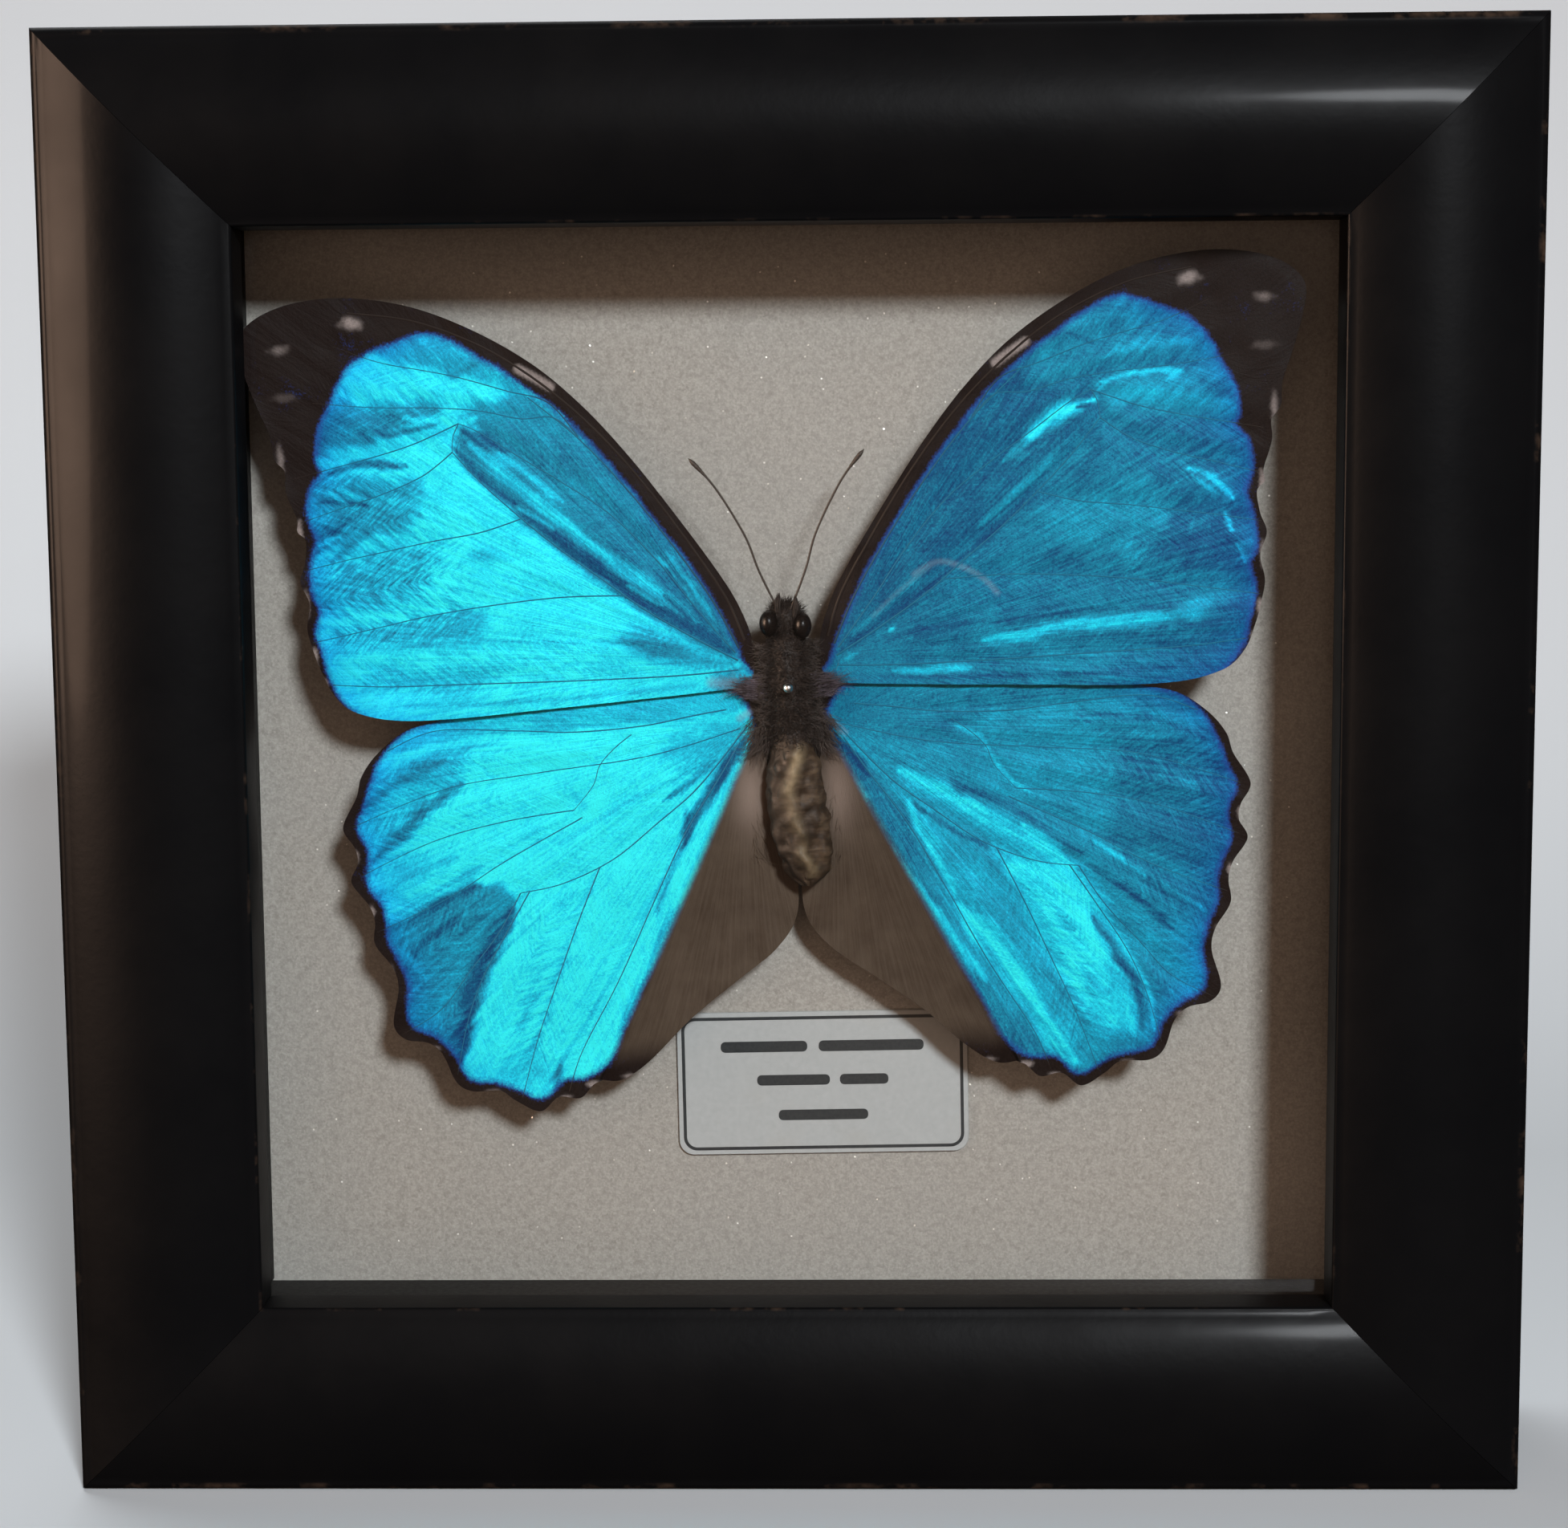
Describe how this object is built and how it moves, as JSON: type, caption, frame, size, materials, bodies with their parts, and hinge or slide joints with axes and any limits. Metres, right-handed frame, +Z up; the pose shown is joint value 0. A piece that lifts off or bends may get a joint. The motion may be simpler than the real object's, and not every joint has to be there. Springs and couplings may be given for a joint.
{
  "type": "framed butterfly specimen",
  "caption": "Square black shadow box with a blue butterfly pinned behind glass over a blank caption card, to stand or hang.",
  "frame": {"origin": "centre of the box's footprint, at the bottom face it stands on", "axes": "+Z up, -Y out through the glass towards the viewer, +X to the viewer's right"},
  "size_m": [0.18, 0.038, 0.18],
  "materials": {
    "black_lacquer": "black satin lacquer",
    "clear_glass": "clear polished float glass",
    "grey_card": "warm grey paper face with fine sparkle",
    "brown_board": "bare fibreboard",
    "black_strip": "matt black strip",
    "white_card": "smooth white card",
    "bright_steel": "bright steel",
    "brassed_steel": "brass-plated strip",
    "wing_blue": "iridescent blue scales with brown-black margins",
    "body_brown": "dry, dark brown and hairy"
  },
  "bodies": {
    "root": {"frame_rail_bottom": "black_lacquer", "frame_rail_right": "black_lacquer", "frame_rail_top": "black_lacquer", "frame_rail_left": "black_lacquer", "glass_pane": "clear_glass", "spacer_bottom": "black_strip", "spacer_right": "black_strip", "spacer_top": "black_strip", "spacer_left": "black_strip", "mount_board": "grey_card", "back_board": "brown_board", "framers_point_bottom_1": "bright_steel", "framers_point_bottom_2": "bright_steel", "framers_point_right_1": "bright_steel", "framers_point_right_2": "bright_steel", "framers_point_top_1": "bright_steel", "framers_point_top_2": "bright_steel", "framers_point_left_1": "bright_steel", "framers_point_left_2": "bright_steel", "label": "white_card", "butterfly_body": "body_brown", "forewing_left": "wing_blue", "forewing_right": "wing_blue", "hindwing_left": "wing_blue", "hindwing_right": "wing_blue", "antenna_left": "body_brown", "antenna_right": "body_brown", "insect_pin": "bright_steel", "sawtooth_hanger": "brassed_steel", "hanger_nail_left": "bright_steel", "hanger_nail_right": "bright_steel"}
  },
  "joints": []
}
